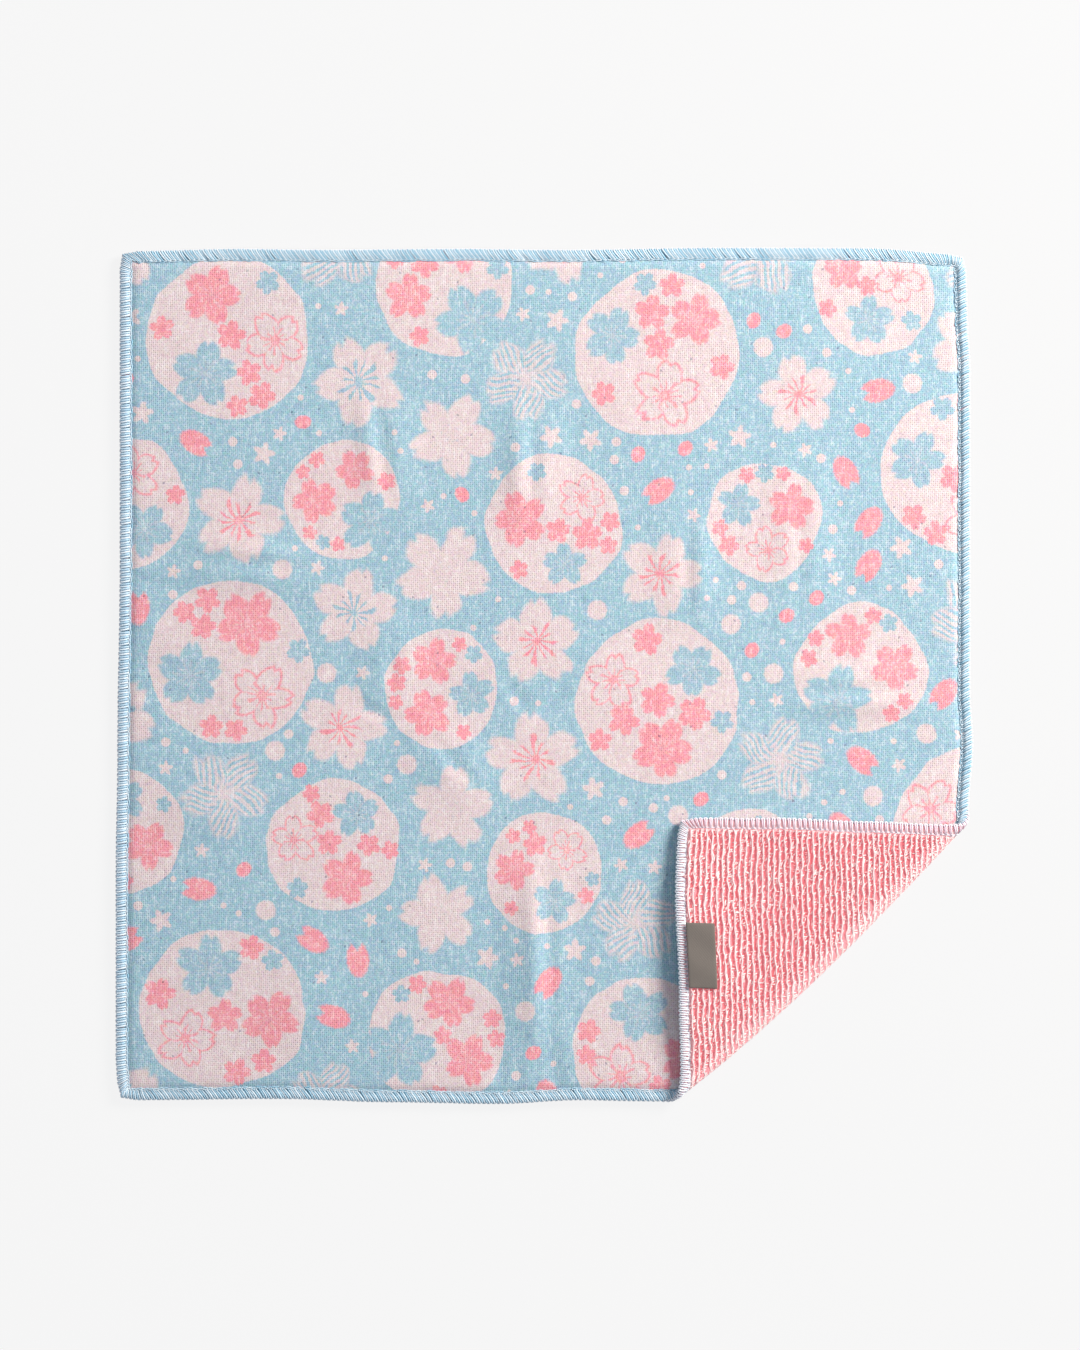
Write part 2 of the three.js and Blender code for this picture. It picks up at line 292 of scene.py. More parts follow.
def fold_bow(along, depth, progress):
    """The fold's outward bow."""
    x = 2 * (along - BOW_FROM) / (BOW_TO - BOW_FROM) - 1
    bow = FOLD_BOW * np.maximum(0, 1 - x * x) * (1 - FOLD_BOW_SKEW * x)
    return bow * hill(clamp(-depth / FOLD_BOW_REACH)) * hill(progress)


def round_corners(u, v):
    """Draws the four corners in a little, so that they turn softly."""
    near_u = clamp(1 - (HALF - np.abs(u)) / CORNER_ROUND)
    near_v = clamp(1 - (HALF - np.abs(v)) / CORNER_ROUND)
    pull = CORNER_PULL * near_u * near_v
    return u - np.sign(u) * pull, v - np.sign(v) * pull


def place(flat):
    """Rows of u, v, w carried to where they lie, in millimetres, before centring."""
    u, v = round_corners(flat[:, 0], flat[:, 1])
    w = flat[:, 2]
    depth = u * NORMAL[0] + v * NORMAL[1] - BEND_START
    along = u * ALONG[0] + v * ALONG[1]
    turn = np.clip(depth / BEND_RADIUS, 0, math.pi)
    past = np.maximum(0, depth - BEND_LENGTH)
    progress = past / FLAP_DEPTH
    shift_u, shift_v = outline_shift(u, v)
    shift_out = shift_u * NORMAL[0] + shift_v * NORMAL[1]
    shift_side = shift_u * ALONG[0] + shift_v * ALONG[1]
    out = (BEND_START + np.minimum(depth, 0) + BEND_RADIUS * np.sin(turn) - past
           + fold_bow(along, depth, progress) + shift_out * np.cos(turn) - w * np.sin(turn))
    side = along + shift_side - FLAP_SLIP * progress
    x = out * NORMAL[0] + side * ALONG[0]
    y = out * NORMAL[1] + side * ALONG[1]
    middle = CLOTH_THICK / 2 + BEND_RADIUS * (1 - np.cos(turn))
    lie = flap_lift(u, v, progress) - FLAP_SETTLE + hills(RIDGES, x, y)
    return np.stack([x, y, middle + lie + w * np.cos(turn)], 1)


def centring():
    """From the lay to the row frame, read off the outer faces of two CAD edgings."""
    run = np.linspace(-HALF, HALF, 1001)
    left = place(np.stack([0 * run - HALF, run, 0 * run], 1))[:, 0].min()
    top = place(np.stack([run, 0 * run + HALF, 0 * run], 1))[:, 1].max()
    return np.array([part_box("edging_left")[0].x / MM - left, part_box("edging_top")[1].y / MM - top, 0])


CENTRING = centring()


def lay(flat):
    """Rows of u, v, w in millimetres to the row frame, in metres."""
    return (place(flat) + CENTRING) * MM


# Mesh helpers

def points_of(mesh):
    co = np.empty(len(mesh.vertices) * 3)
    mesh.vertices.foreach_get("co", co)
    return co.reshape(-1, 3)


def corners_of(mesh):
    """For each face corner, its vertex and its face."""
    vertex = np.empty(len(mesh.loops), int)
    mesh.loops.foreach_get("vertex_index", vertex)
    total = np.empty(len(mesh.polygons), int)
    mesh.polygons.foreach_get("loop_total", total)
    return vertex, np.repeat(np.arange(len(total)), total)


def new_mesh(name, points, faces):
    mesh = bpy.data.meshes.new(name)
    mesh.from_pydata([tuple(p) for p in points], [], faces)
    return mesh


def new_object(name, mesh):
    obj = bpy.data.objects.new(name, mesh)
    bpy.context.scene.collection.objects.link(obj)
    return obj


def store(mesh, name, values):
    """Adds a number, a vector or a colour for each point, or else for each face corner."""
    values = np.asarray(values, np.float32)
    size = values.size // len(values)
    kind = {1: "FLOAT", 3: "FLOAT_VECTOR", 4: "FLOAT_COLOR"}[size]
    domain = "POINT" if len(values) == len(mesh.vertices) else "CORNER"
    layer = mesh.attributes.new(name, kind, domain)
    layer.data.foreach_set({1: "value", 3: "vector", 4: "color"}[size], values.ravel())


def settle(mesh, flat):
    """Gives a mesh its flat map, then lays it on the folded cloth."""
    vertex, _ = corners_of(mesh)
    uv = mesh.uv_layers.new(name="flat")
    uv.data.foreach_set("uv", ((flat[vertex, :2] + HALF) / SIDE).ravel())
    mesh.vertices.foreach_set("co", lay(flat).ravel())
    mesh.polygons.foreach_set("use_smooth", np.ones(len(mesh.polygons), bool))
    mesh.update()


def tube(path, radii, sides, side_on):
    """Points and faces of a closed tube round a path, turned by the way its side looks."""
    path = np.asarray(path, float)
    ahead = np.gradient(path, axis=0)
    ahead /= np.linalg.norm(ahead, axis=1)[:, None]
    across = np.array(side_on, float) - (ahead @ side_on)[:, None] * ahead
    across /= np.linalg.norm(across, axis=1)[:, None]
    up = np.cross(ahead, across)
    angle = np.arange(sides) * 2 * math.pi / sides
    ring = (np.cos(angle)[None, :, None] * across[:, None] + np.sin(angle)[None, :, None] * up[:, None])
    points = (path[:, None] + ring * np.asarray(radii)[:, None, None]).reshape(-1, 3)
    rings = len(path)
    faces = [tuple(reversed(range(sides)))]
    for i in range(rings - 1):
        for k in range(sides):
            n = (k + 1) % sides
            faces.append((i * sides + k, i * sides + n, (i + 1) * sides + n, (i + 1) * sides + k))
    faces.append(tuple((rings - 1) * sides + k for k in range(sides)))
    return points, faces


def joined(parts):
    """Several sets of points and faces as one."""
    points = []
    faces = []
    count = 0
    for part_points, part_faces in parts:
        points.append(part_points)
        faces += [tuple(k + count for k in face) for face in part_faces]
        count += len(part_points)
    return np.concatenate(points), faces


# Node trees

class Wire:
    """A socket that takes part in Python expressions: each operation adds a Math node."""

    def __init__(self, board, socket):
        self.board = board
        self.socket = socket

    def __add__(self, other):
        return self.board.math("ADD", self, other)

    def __radd__(self, other):
        return self.board.math("ADD", other, self)

    def __sub__(self, other):
        return self.board.math("SUBTRACT", self, other)

    def __rsub__(self, other):
        return self.board.math("SUBTRACT", other, self)

    def __mul__(self, other):
        return self.board.math("MULTIPLY", self, other)

    def __rmul__(self, other):
        return self.board.math("MULTIPLY", other, self)


class Board:
    """One node tree. Every node comes from add()."""

    def __init__(self, tree):
        self.tree = tree

    def add(self, kind, settings=None, sockets=None):
        """A node: its settings are set first, then the values or links of its sockets."""
        node = self.tree.nodes.new(kind)
        for name, value in (settings or {}).items():
            if name == "stops":
                self.set_stops(node.color_ramp, value)
            else:
                setattr(node, name, value)
        for key, value in (sockets or {}).items():
            if isinstance(value, Wire):
                self.tree.links.new(value.socket, node.inputs[key])
            else:
                node.inputs[key].default_value = value
        return node

    def out(self, kind, settings=None, sockets=None, output=0):
        return Wire(self, self.add(kind, settings, sockets).outputs[output])

    @staticmethod
    def set_stops(ramp, stops):
        while len(ramp.elements) < len(stops):
            ramp.elements.new(1.0)
        for element, (position, colour) in zip(ramp.elements, stops):
            element.position = position
            element.color = colour

    def math(self, operation, *operands):
        return self.out("ShaderNodeMath", {"operation": operation}, dict(enumerate(operands)))

    def edge(self, distance, sharpness):
        """A mask from a distance: 1 inside, 0 outside, with a soft edge."""
        settings = {"operation": "MULTIPLY_ADD", "use_clamp": True}
        return self.out("ShaderNodeMath", settings, {0: distance, 1: sharpness, 2: 0.5})

    def vector(self, operation, *operands):
        return self.out("ShaderNodeVectorMath", {"operation": operation}, dict(enumerate(operands)))

    def combine(self, x, y, z=0.0):
        return self.out("ShaderNodeCombineXYZ", None, {0: x, 1: y, 2: z})

    def length(self, x, y):
        return self.out("ShaderNodeVectorMath", {"operation": "LENGTH"}, {0: self.combine(x, y)}, "Value")

    def split(self, vector):
        node = self.add("ShaderNodeSeparateXYZ", None, {0: vector})
        return [Wire(self, socket) for socket in node.outputs]

    def mix(self, factor, a, b, blend="MIX"):
        """Mixes two colours."""
        settings = {"data_type": "RGBA", "blend_type": blend, "clamp_factor": True}
        return self.out("ShaderNodeMix", settings, {0: factor, 6: a, 7: b}, 2)

    def attribute(self, name, output="Vector"):
        return self.out("ShaderNodeAttribute", {"attribute_name": name}, None, output)

    def noise(self, vector, scale, detail=1.0, output="Fac"):
        sockets = {"Vector": vector, "Scale": scale, "Detail": detail, "Roughness": 0.5}
        return self.out("ShaderNodeTexNoise", None, sockets, output)

    def random(self, low, high, seed, slot=2):
        """A random number for each point, or a random vector where slot is 0."""
        settings = {"data_type": "FLOAT" if slot else "FLOAT_VECTOR"}
        sockets = {slot: low, slot + 1: high, "Seed": seed}
        return self.out("FunctionNodeRandomValue", settings, sockets, slot // 2)

    def spread(self, vector, reach):
        """A vector times a reach in its first two parts."""
        return self.vector("MULTIPLY", vector, (reach, reach, 0.0))

    def flat_spot(self):
        """Where a point lies on the flat cloth, in millimetres."""
        return self.spread(self.out("ShaderNodeUVMap", {"uv_map": "flat"}), SIDE)

    def object_spot(self):
        return self.out("ShaderNodeTexCoord", None, None, "Object")


def rgb(red, green, blue, alpha=1.0):
    """A colour given as it looks on screen, 0 to 255, in linear light."""
    linear = []
    for value in (red, green, blue):
        c = value / 255
        linear.append(c / 12.92 if c <= 0.04045 else ((c + 0.055) / 1.055) ** 2.4)
    return (*linear, alpha)


# Colours of the dyed cloth, the threads and the floor, and of the painted highlight and shade on the
# weave, the edging thread and the pile
GROUND_BLUE = rgb(155, 190, 204)
PAPER_WHITE = rgb(221, 203, 203)
CORAL = rgb(238, 155, 164)
DUSK_BLUE = rgb(156, 188, 202)
# Edging thread: each lit colour comes with a darker copy, which is painted shade and also the darker tone
# of some strands
THREAD_BLUE = rgb(228, 238, 243)
THREAD_BLUE_SHADE = rgb(144, 194, 217)
THREAD_WHITE = rgb(244, 240, 245)
THREAD_WHITE_SHADE = rgb(228, 198, 211)
THREAD_LILAC = rgb(243, 250, 255)
THREAD_LILAC_SHADE = rgb(198, 218, 235)
# Looped pile, from low to high: painted shade in the grooves, the cotton's own pink, painted highlight on
# the tops
PILE_GROOVE_SHADE = rgb(255, 160, 166)
PILE_MID = rgb(255, 218, 217)
PILE_TIP_HIGHLIGHT = rgb(255, 248, 240)
# A faint pink glow, painted light that stands in for light scattered through the cotton
PILE_PAINTED_GLOW = rgb(255, 96, 112)
TAG_GREY = rgb(116, 109, 102)
TAG_LIGHT = rgb(142, 135, 127)
TAG_WORN = rgb(104, 98, 93)
# Weave of the gauze: painted shade in the gaps between threads, painted highlight on their crests, and
# small specks
WEAVE_GAP_SHADE = rgb(194, 196, 203)
WEAVE_HIGHLIGHT = rgb(250, 253, 252)
WEAVE_SPECK = rgb(96, 92, 140)
FLOOR_GREY = rgb(70, 70, 70)
FLOOR_WHITE = rgb(255, 255, 255)


def new_material(name, roughness, sheen=0.0, more=None):
    """A material with its board and its shader, and values for more of its sockets."""
    material = bpy.data.materials.new(name)
    material.use_nodes = True
    board = Board(material.node_tree)
    shader = material.node_tree.nodes["Principled BSDF"]
    values = {"Roughness": roughness, "Specular IOR Level": 0.25, "Sheen Weight": sheen,
              "Sheen Roughness": 0.5, **(more or {})}
    for socket, value in values.items():
        shader.inputs[socket].default_value = value
    return material, board, shader


def feed(board, shader, colour, height, depth, normal=None):
    """Feeds the base colour, and a bump of a depth in metres on the true or a softer normal."""
    board.tree.links.new(colour.socket, shader.inputs["Base Color"])
    sockets = {"Strength": 1.0, "Distance": depth, "Height": height}
    if normal:
        sockets["Normal"] = normal
    bump = board.add("ShaderNodeBump", None, sockets)
    board.tree.links.new(bump.outputs[0], shader.inputs["Normal"])


# Print: ordinary blossoms, rounds, petals, dots and stars, drawn by formula.
# The faces of the gauze carry each motif's own coordinates, and the shader draws it there.

# Rounds: middle u and v, and radius
ROUNDS = [
    (-93, 99, 24), (-29, 114, 20), (33, 95, 24), (97, 113, 18),
    (-125, 50, 20), (-59, 52, 17), (3, 44, 20), (65, 46, 17), (123, 60, 24),
    (-92, 4, 24), (-30, -4, 17), (33, -8, 24), (93, 2, 19),
    (-124, -46, 18), (-62, -50, 20), (0, -58, 17), (60, -60, 20), (124, -44, 22),
    (-94, -98, 24), (-31, -106, 20), (30, -110, 22), (92, -104, 18),
]
# Those whose rim a blossom in the ground's blue covers
BITTEN = (1, 5, 12, 19)

# How a blossom is drawn: fill, outline, stamens, hatching
STYLES = {
    "solid": (1.0, 0.0, 0.25, 0.0),
    "stamened": (1.0, 0.0, 1.0, 0.0),
    "plain": (1.0, 0.0, 0.0, 0.0),
    "drawn": (0.0, 1.0, 0.8, 0.0),
    "hatched": (0.85, 0.0, 0.6, 1.0),
}
# Radius under which a round gets plainer large blossoms
SMALL_ROUND = 22
# Blossoms on the ground, layers that share out all blossoms, and spots tried for one
GROUND_BLOSSOMS = 30
BLOSSOM_LAYERS = 3
TRIES = 900


def roomiest(spots, taken):
    """Of some spots, the one with the most room to what is taken, and that room."""
    room = np.full(len(spots), SIDE)
    for x, y, radius in taken:
        room = np.minimum(room, np.hypot(spots[:, 0] - x, spots[:, 1] - y) - radius)
    best = int(room.argmax())
    return spots[best], float(room[best])


def fill_round(rng, x, y, radius, bitten):
    """Blossoms inside one round: three large ones, then smaller ones in the gaps."""
    pink = ("solid", CORAL, PAPER_WHITE)
    dusky = ("solid", DUSK_BLUE, PAPER_WHITE)
    drawn = ("drawn", CORAL, CORAL)
    large = [pink, pink, dusky] if radius < SMALL_ROUND else [pink, dusky, drawn]
    if radius < SMALL_ROUND and rng.random() < 0.5:
        large[0] = drawn
    if bitten:
        large = [("solid", GROUND_BLUE, PAPER_WHITE), large[1], pink]
    start = rng.uniform(0, math.tau)
    made = []
    for k, (style, tint, line) in enumerate(large):
        share = rng.uniform(0.33, 0.42)
        out = radius * (1 - share) - 1.6
        if bitten and k == 0:
            share, out = 0.55, radius * 0.62
        angle = start + k * math.tau / 3 + rng.uniform(-0.12, 0.12)
        at = (x + out * math.cos(angle), y + out * math.sin(angle))
        made.append((*at, radius * share, rng.uniform(0, math.tau), style, tint, line))
    for k in range(6):
        spread = radius * 0.84 * np.sqrt(rng.uniform(0, 1, TRIES))
        angle = rng.uniform(0, math.tau, TRIES)
        spots = np.stack([x + spread * np.cos(angle), y + spread * np.sin(angle)], 1)
        spot, room = roomiest(spots, [m[:3] for m in made])
        edge = radius - math.hypot(spot[0] - x, spot[1] - y)
        size = min(room + 0.6, edge - 0.4, radius * 0.24)
        if size > 1.7:
            tint = DUSK_BLUE if k == 1 else CORAL
            made.append((*spot, size, rng.uniform(0, math.tau), "plain", tint, PAPER_WHITE))
    return made


def scatter_ground(rng):
    """White and hatched blossoms on the blue ground between the rounds."""
    looks = [
        ("stamened", PAPER_WHITE, CORAL),
        ("plain", PAPER_WHITE, CORAL),
        ("hatched", PAPER_WHITE, PAPER_WHITE),
        ("stamened", PAPER_WHITE, CORAL),
        ("stamened", PAPER_WHITE, DUSK_BLUE),
        ("hatched", PAPER_WHITE, PAPER_WHITE),
    ]
    made = []
    taken = list(ROUNDS)
    for k in range(GROUND_BLOSSOMS):
        spots = rng.uniform(-HALF - 2, HALF + 2, (TRIES * 3, 2))
        spot, room = roomiest(spots, taken)
        size = min(room - 1.2, rng.uniform(11.5, 14.5))
        made.append((*spot, size, rng.uniform(0, math.tau), *looks[k % len(looks)]))
        taken.append((*spot, size))
    return made, taken


def scatter_small(rng, taken):
    """Petals, dots and stars: middle, half sizes, turn, star points, notch and tint."""
    kinds = [
        (20, 5.2, 3.3, 0.0, 1.0, CORAL),
        (20, 2.4, 2.0, 0.0, 0.0, CORAL),
        (14, 3.4, 3.4, 0.24, 0.0, PAPER_WHITE),
        (18, 2.9, 2.9, 0.0, 0.0, PAPER_WHITE),
        (36, 2.2, 2.2, 0.26, 0.0, PAPER_WHITE),
        (50, 1.4, 1.4, 0.0, 0.0, PAPER_WHITE),
        (60, 0.9, 0.9, 0.0, 0.0, PAPER_WHITE),
    ]
    made = []
    taken = list(taken)
    for count, length, width, points, notch, tint in kinds:
        for _ in range(count):
            spots = rng.uniform(-HALF, HALF, (60, 2))
            spot, room = roomiest(spots, taken)
            if room > length + 0.9:
                turn = rng.uniform(0, math.tau)
                made.append((*spot, length, width, turn, points, notch, tint))
                taken.append((*spot, length + 0.5))
    return made


def into_layers(blossoms):
    """Shares blossoms among layers, so that those of one layer lie well apart."""
    layers = [[] for _ in range(BLOSSOM_LAYERS)]
    for blossom in sorted(blossoms, key=lambda b: -b[2]):
        rooms = [roomiest(np.array([blossom[:2]]), [b[:3] for b in layer])[1] for layer in layers]
        layers[int(np.argmax(rooms))].append(blossom)
    return layers


def nearest(centres, stamps):
    """For each face, the stamp whose rim is nearest."""
    table = np.array([s[:3] for s in stamps], float)
    gaps = np.hypot(centres[:, :1] - table[:, 0], centres[:, 1:2] - table[:, 1]) - table[:, 2]
    return gaps.argmin(1)


def local(corners, table, which):
    """Corner places in the coordinates of their stamp, turned and scaled."""
    x, y, length, width, turn = table[which].T
    dx = corners[:, 0] - x
    dy = corners[:, 1] - y
    along = dx * np.cos(turn) + dy * np.sin(turn)
    aside = dy * np.cos(turn) - dx * np.sin(turn)
    return along / length, aside / width


def print_motifs(mesh, flat):
    """Stores every layer of the print on the corners of the panel's faces."""
    rng = np.random.default_rng(23)
    vertex, face = corners_of(mesh)
    corners = flat[vertex, :2]
    centres = np.zeros((len(mesh.polygons), 2))
    np.add.at(centres, face, corners)
    centres /= np.bincount(face)[:, None]
    which = nearest(centres, ROUNDS)[face]
    middle = np.array(ROUNDS, float)[which]
    store(mesh, "round", np.column_stack([corners - middle[:, :2], middle[:, 2]]))
    blossoms, taken = scatter_ground(rng)
    for k, (x, y, radius) in enumerate(ROUNDS):
        blossoms += fill_round(rng, x, y, radius, k in BITTEN)
    for k, layer in enumerate(into_layers(blossoms)):
        which = nearest(centres, layer)[face]
        table = np.array([(b[0], b[1], b[2], b[2], b[3]) for b in layer])
        marks = np.array([STYLES[b[4]] for b in layer])
        x, y = local(corners, table, which)
        store(mesh, f"blossom_{k}", np.column_stack([x, y, marks[which, 3]]))
        store(mesh, f"marks_{k}", marks[which, :3])
        store(mesh, f"tint_{k}", np.array([b[5] for b in layer])[which])
        store(mesh, f"line_{k}", np.array([b[6] for b in layer])[which])
    small = scatter_small(rng, taken)
    which = nearest(centres, small)[face]
    x, y = local(corners, np.array([s[:5] for s in small]), which)
    points = np.array([s[5] for s in small])[which]
    tints = np.array([(*s[7][:3], s[6]) for s in small])[which]
    store(mesh, "small", np.column_stack([x, y, points]))
    store(mesh, "small_tint", tints)


def draw_rounds(board, wobble):
    """White rounds on the blue ground, a little uneven."""
    x, y, radius = board.split(board.vector("ADD", board.attribute("round"), wobble))
    inside = radius - board.length(x, y)
    return board.mix(board.edge(inside, 2.6), GROUND_BLUE, PAPER_WHITE)


def draw_blossoms(board, layer, ground, wobble):
    """One layer of notched five-petal blossoms."""
    spot = board.vector("ADD", board.attribute(f"blossom_{layer}"), wobble)
    x, y, hatching = board.split(spot)
    fill, outline, stamens = board.split(board.attribute(f"marks_{layer}"))
    far = board.length(x, y)
    angle = board.math("ARCTAN2", y, x)
    petal = (board.math("FRACT", angle * (5 / math.tau) + 10.5) - 0.5) * (math.tau / 5)
    along = far * board.math("COSINE", petal)
    across = far * board.math("SINE", petal)
    aside = board.math("ABSOLUTE", across)
    oval = 1.0 - board.length((along - 0.56) * (1 / 0.45), aside * (1 / 0.35))
    notch = 0.87 - along + aside * 1.1
    inside = board.math("MINIMUM", oval * 0.34, notch * 0.6)
    body = board.math("MAXIMUM", inside, 0.2 - far)
    hatch = board.edge(board.math("SINE", across * 44.0 + along * 22.0) + 0.1, 1.2)
    hatch = board.math("MAXIMUM", hatch, board.edge(0.03 - board.math("ABSOLUTE", inside), 14.0))
    drawn = board.edge(0.035 - board.math("ABSOLUTE", inside), 16.0) * outline
    rays = board.math("COSINE", angle * 11.0) + board.math("COSINE", angle * 4.0 + 1.0) * 0.35
    reach = 0.43 + board.math("COSINE", angle * 7.0) * 0.07 - far
    star = board.edge(rays - 0.35, 2.2) * board.edge(reach, 14.0)
    star = board.math("MAXIMUM", star, board.edge(0.1 - far, 14.0))
    cover = board.edge(body, 13.0) * fill * (1.0 - hatching * (1.0 - hatch))
    colour = board.mix(cover, ground, board.attribute(f"tint_{layer}", "Color"))
    lines = board.math("MAXIMUM", drawn, star * stamens)
    return board.mix(lines, colour, board.attribute(f"line_{layer}", "Color"))


def draw_small(board, ground, wobble):
    """Petals, dots and stars."""
    x, y, points = board.split(board.vector("ADD", board.attribute("small"), wobble))
    notched = board.attribute("small_tint", "Alpha")
    far = board.length(x, y)
    petals = board.math("COSINE", board.math("ARCTAN2", y, x) * 5.0)
    inside = 1.0 - points + points * petals - far
    notch = 0.5 - x + board.math("ABSOLUTE", y) * 0.8
    inside = board.math("MINIMUM", inside, notch + (1.0 - notched) * 4.0)
    return board.mix(board.edge(inside, 5.0), ground, board.attribute("small_tint", "Color"))


def gauze_material():
    """Plain weave, printed: threads over and under, with small open gaps between, painted with shade in
    the gaps and with highlight on the thread crests.
    """
    material, board, shader = new_material("printed_gauze", 0.95, 0.15)
    spot = board.flat_spot()

    def stir(scale, detail):
        """A noise that pushes either way."""
        return board.vector("SUBTRACT", board.noise(spot, scale, detail, "Color"), (0.5, 0.5, 0.5))

    slow = stir(0.045, 2.0)
    quick = stir(1.6, 1.0)
    cut = stir(0.16, 0.0)
    uneven = board.vector("ADD", board.spread(slow, 7.0), board.spread(quick, 0.7))
    colour = draw_rounds(board, uneven)
    fuzz = board.vector("ADD", board.spread(quick, 0.07), board.spread(cut, 0.22))
    for layer in range(BLOSSOM_LAYERS):
        colour = draw_blossoms(board, layer, colour, fuzz)
    colour = draw_small(board, colour, board.spread(quick, 0.3))
    waver = board.vector("ADD", board.spread(slow, 2.5), board.spread(quick, 0.25))
    waver = board.vector("ADD", spot, waver)
    x, y, _ = board.split(board.spread(waver, 1 / WEAVE_PITCH))
    column = board.math("FLOOR", x)
    row = board.math("FLOOR", y)
    crossing = board.math("PINGPONG", board.math("FLOOR", x + 0.5) + board.math("FLOOR", y + 0.5), 1.0)
    warp = board.math("SINE", board.math("FRACT", x) * math.pi)
    weft = board.math("SINE", board.math("FRACT", y) * math.pi)
    pinhole = (1.0 - warp) * (1.0 - weft) * (0.35 + crossing * 0.65)
    height = 1.0 - pinhole - (1.0 - warp) * 0.25 - (1.0 - weft) * 0.15
    streak_up = board.noise(board.combine(column * 3.7, y * 0.16), 1.0, 1.0)
    streak_across = board.noise(board.combine(x * 0.16, row * 3.7, 5.0), 1.0, 1.0)
    tone = streak_up * 1.3 + streak_across * 0.8 - 1.05
    chance = board.out("ShaderNodeTexWhiteNoise", {"noise_dimensions": "2D"},
                       {"Vector": board.combine(column, row)}, "Value")
    # Gaps between the threads get painted shade: a deeper, more saturated colour, multiplied darker
    hole = board.edge(0.25 - height * 0.75 - tone * 0.5 + (chance - 0.5) * 0.25, 1.9)
    saturated_shade = board.out("ShaderNodeGamma", None, {"Color": colour, "Gamma": 1.5})
    shadow = board.mix(hole * 0.8, colour, board.mix(1.0, saturated_shade, WEAVE_GAP_SHADE, "MULTIPLY"))
    # Raised threads get a painted highlight, stronger along the lighter streaks of the yarn
    crest_light = board.edge(height * 0.6 - 0.75 + tone * 1.0 + (chance - 0.5) * 0.5, 1.6)
    lit = board.mix(crest_light * 0.37, shadow, WEAVE_HIGHLIGHT)
    dyed = board.mix(0.22, lit, board.noise(spot, 1.1, 1.0, "Color"), "OVERLAY")
    specks = board.edge(chance - 0.9985, 900.0)
    spotted = board.mix(specks * 0.5, dyed, WEAVE_SPECK, "MULTIPLY")
    feed(board, shader, spotted, height, YARN_RELIEF)
    return material


def pile_material():
    """Cotton loops, coloured by height: painted highlight towards the tops and painted shade of deep pink
    between the ribs, with tone that varies at random, and a faint pink glow of painted light.
    """
    # The emission is painted light: a pink glow in place of light scattered through the cotton
    material, board, shader = new_material("looped_pile", 0.9, 0.35, {
        "Subsurface Weight": 0.3, "Subsurface Radius": (1.0, 0.5, 0.5),
        "Subsurface Scale": 0.0006, "Emission Color": PILE_PAINTED_GLOW, "Emission Strength": 0.14,
    })
    tip = board.attribute("tip", "Fac")
    spot = board.object_spot()
    fibre = board.noise(spot, 2600.0, 2.0)
    patch = board.noise(spot, 60.0, 2.0)
    tone = tip + (fibre - 0.5) * 0.35 + (patch - 0.5) * 0.3
    # From painted shade low in the grooves, through the cotton's pink, to painted highlight on the tops
    stops = [(0.0, PILE_GROOVE_SHADE), (0.5, PILE_MID), (1.0, PILE_TIP_HIGHLIGHT)]
    colour = board.out("ShaderNodeValToRGB", {"stops": stops}, {0: tone})
    true_normal = board.out("ShaderNodeNewGeometry", None, None, "Normal")
    level = board.vector("MULTIPLY", board.attribute("level"), (PILE_LEVEL_SHARE,) * 3)
    soft = board.vector("NORMALIZE", board.vector("ADD", true_normal, level))
    feed(board, shader, colour, fibre, YARN_RELIEF, soft)
    return material


def thread_material():
    """Edging thread: blue on the face, whiter round the edge and on the back, with painted highlight and
    shade on every strand.
    """
    material, board, shader = new_material("edging_thread", 0.7, 0.2)
    face, crest_light, lavender = board.split(board.attribute("thread"))
    strand = board.attribute("strand", "Fac")
    spot = board.object_spot()
    fibre = board.noise(spot, 2400.0, 2.0)
    high = board.mix(lavender, board.mix(face, THREAD_WHITE, THREAD_BLUE), THREAD_LILAC)
    low = board.mix(lavender, board.mix(face, THREAD_WHITE_SHADE, THREAD_BLUE_SHADE), THREAD_LILAC_SHADE)
    # Lit where a strand faces outward, shaded on its sides, its inner end and on the second strand:
    # painted highlight and shade, with random tone from stitch to stitch
    light = board.edge(crest_light * 0.9 + (fibre - 0.5) * 0.4 + strand * 0.4 - 0.55, 1.4)
    colour = board.mix(light, low, high)
    feed(board, shader, colour, fibre, THREAD_RELIEF)
    return material


def tag_material():
    """Grey woven tape, left bare."""
    material, board, shader = new_material("grey_tape", 0.8, 0.1)
    spot = board.flat_spot()
    x, y, _ = board.split(spot)
    twill = board.math("SINE", (x + y) * 14.0) * 0.5 + 0.5
    ribs = board.math("SINE", y * 30.0) * 0.5 + 0.5
    height = twill * 0.6 + ribs * 0.4
    worn = board.noise(spot, 0.5, 3.0)
    colour = board.mix(height * 0.35, TAG_GREY, TAG_LIGHT)
    colour = board.mix(worn * 0.3, colour, TAG_WORN)
    feed(board, shader, colour, height, YARN_RELIEF)
    return material


GAUZE = gauze_material()
PILE = pile_material()
THREAD = thread_material()
TAPE = tag_material()


# Geometry trees

# What an input of a tree holds, where it isn't a number with decimals
INPUT_KINDS = {"Lines": "Geometry", "Template": "Object", "Sides": "Int", "Seed": "Int",
               "Finish": "Material"}


